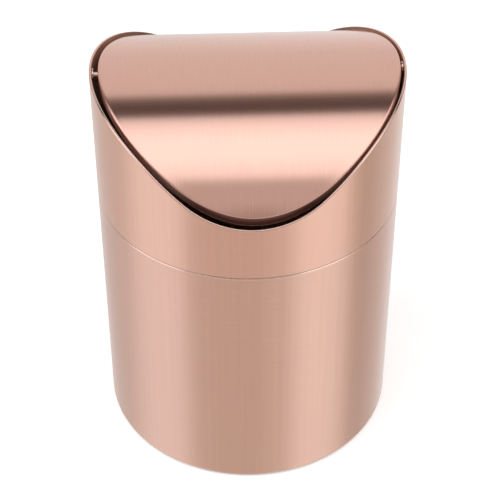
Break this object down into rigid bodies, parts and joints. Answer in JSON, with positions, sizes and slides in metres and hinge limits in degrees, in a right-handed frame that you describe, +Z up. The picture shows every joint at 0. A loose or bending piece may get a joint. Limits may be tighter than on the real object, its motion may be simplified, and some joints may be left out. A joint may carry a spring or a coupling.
{
  "type": "countertop trash can with swing lid",
  "caption": "Small round bin of brushed copper-pink steel: a can, a lift-off collar with a saddle-shaped rim, and an arched lid that swings on side pins.",
  "frame": {"origin": "middle of the base pad's underside, on the surface that the can stands on", "axes": "+Z up along the can's axis, -Y to the front where the rim dips, X along the lid's two pins"},
  "size_m": [0.12, 0.12, 0.1668],
  "materials": {
    "brushed_copper_steel": "fine straight brushing with a copper-pink coating",
    "plain_steel": "mill finish stainless steel",
    "polished_steel": "bright turned steel",
    "black_rubber": "matt foam rubber",
    "black_nylon": "plain moulded nylon"
  },
  "bodies": {
    "can": {"can_wall": "brushed_copper_steel", "base_plate": "plain_steel", "base_pad": "black_rubber"},
    "collar": {"collar_shell": "brushed_copper_steel", "neck_ring": "plain_steel", "left_pin": "polished_steel", "right_pin": "polished_steel", "left_washer": "polished_steel", "right_washer": "polished_steel"},
    "lid": {"lid_shell": "brushed_copper_steel", "left_bush": "black_nylon", "right_bush": "black_nylon"}
  },
  "joints": [
    {"name": "collar_lift", "type": "slide", "parent": "can", "child": "collar", "axis": [0, 0, 1], "range_m": [0, 0.06]},
    {"name": "lid_swing", "type": "hinge", "parent": "collar", "child": "lid", "pos_m": [0, 0, 0.1629], "axis": [1, 0, 0], "range_deg": [-90, 90]}
  ]
}
